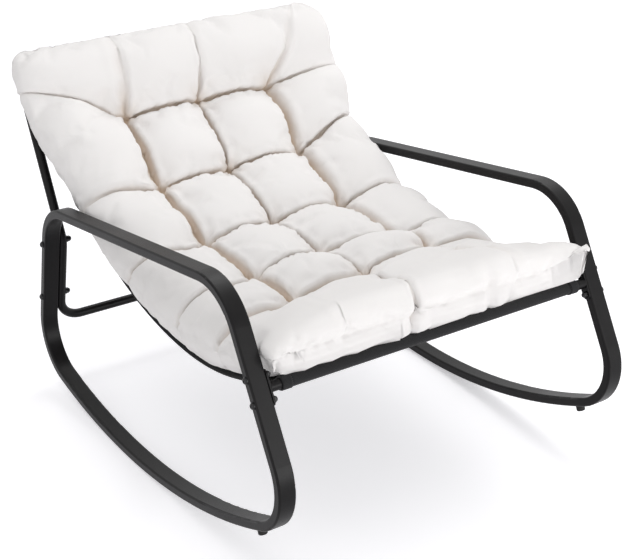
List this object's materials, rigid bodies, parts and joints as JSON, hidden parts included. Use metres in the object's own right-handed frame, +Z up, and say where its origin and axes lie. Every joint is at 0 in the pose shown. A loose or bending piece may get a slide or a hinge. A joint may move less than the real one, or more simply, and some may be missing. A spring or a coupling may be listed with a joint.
{
  "type": "upholstered rocking chair",
  "caption": "Low rocking chair with bent flat-tube side loops as arms and rockers, a cloth sling between cross tubes, and a long tufted seat and back cushion.",
  "frame": {"origin": "on the floor, midway between the rockers, under the line where they touch it when the chair stands empty", "axes": "+Z up, -Y the way the sitter faces, +X the sitter's left"},
  "size_m": [0.7292, 1.0005, 0.6649],
  "materials": {
    "frame_steel": "satin",
    "hardware_steel": "satin",
    "foot_rubber": "matte",
    "cap_plastic": "matte",
    "sling_cloth": "matte",
    "cushion_cloth": "matte"
  },
  "bodies": {
    "frame": {"right_side_loop": "frame_steel", "left_side_loop": "frame_steel", "rear_frame": "frame_steel", "top_bar": "frame_steel", "front_bar": "frame_steel", "right_front_bracket": "frame_steel", "left_front_bracket": "frame_steel", "right_strut_cap": "cap_plastic", "left_strut_cap": "cap_plastic", "right_rubber_foot": "foot_rubber", "left_rubber_foot": "foot_rubber", "front_bolts": "hardware_steel", "rear_bolts": "hardware_steel", "top_bar_bolts": "hardware_steel", "top_bar_inserts": "hardware_steel", "bolt_washers": "hardware_steel", "saddle_washers": "hardware_steel", "cap_nuts": "hardware_steel", "sling": "sling_cloth"},
    "cushion": {"cushion": "cushion_cloth"}
  },
  "joints": [
    {"name": "cushion_lift", "type": "slide", "parent": "frame", "child": "cushion", "axis": [0, 0, 1], "range_m": [0, 0.35]}
  ]
}
